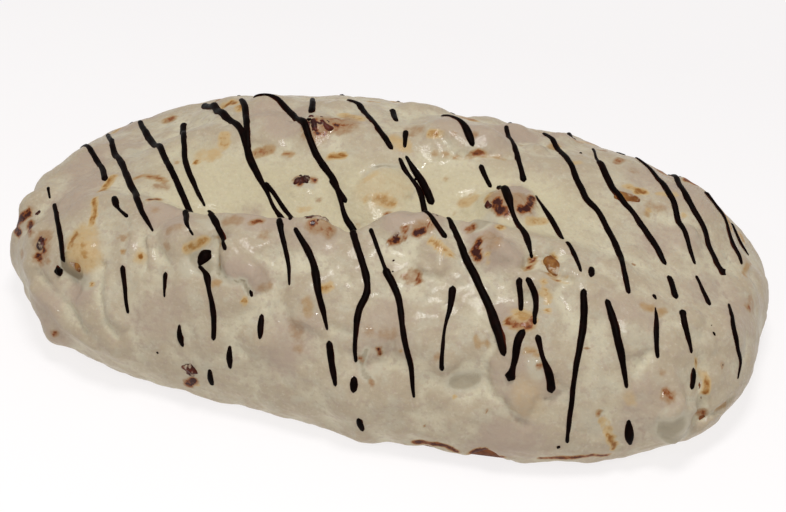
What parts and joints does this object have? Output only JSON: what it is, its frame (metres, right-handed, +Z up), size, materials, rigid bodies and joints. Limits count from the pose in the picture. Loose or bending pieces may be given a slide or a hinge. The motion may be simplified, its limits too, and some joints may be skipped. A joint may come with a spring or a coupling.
{
  "type": "stollen",
  "caption": "Oval festive fruit loaf with a long fold in its top, raisins and candied peel showing through a cream icing, and thin dark chocolate drizzled across it.",
  "frame": {"origin": "middle of the footprint, on the surface that the loaf stands on", "axes": "+X along the loaf towards its blunter end, -Y towards the side that shows the lip of the fold, +Z up"},
  "size_m": [0.1994, 0.113, 0.052],
  "materials": {
    "crust": "matte baked crust",
    "icing": "semi-gloss set cream icing",
    "chocolate": "glossy dark chocolate",
    "raisin": "waxy wrinkled raisin skin",
    "peel": "sugary candied peel"
  },
  "bodies": {
    "root": {"loaf": "crust", "icing": "icing", "raisin_1": "raisin", "raisin_2": "raisin", "raisin_3": "raisin", "raisin_4": "raisin", "raisin_5": "raisin", "raisin_6": "raisin", "raisin_7": "raisin", "raisin_8": "raisin", "raisin_9": "raisin", "raisin_10": "raisin", "raisin_11": "raisin", "raisin_12": "raisin", "peel_1": "peel", "peel_2": "peel", "peel_3": "peel", "peel_4": "peel", "peel_5": "peel", "peel_6": "peel"}
  },
  "joints": []
}
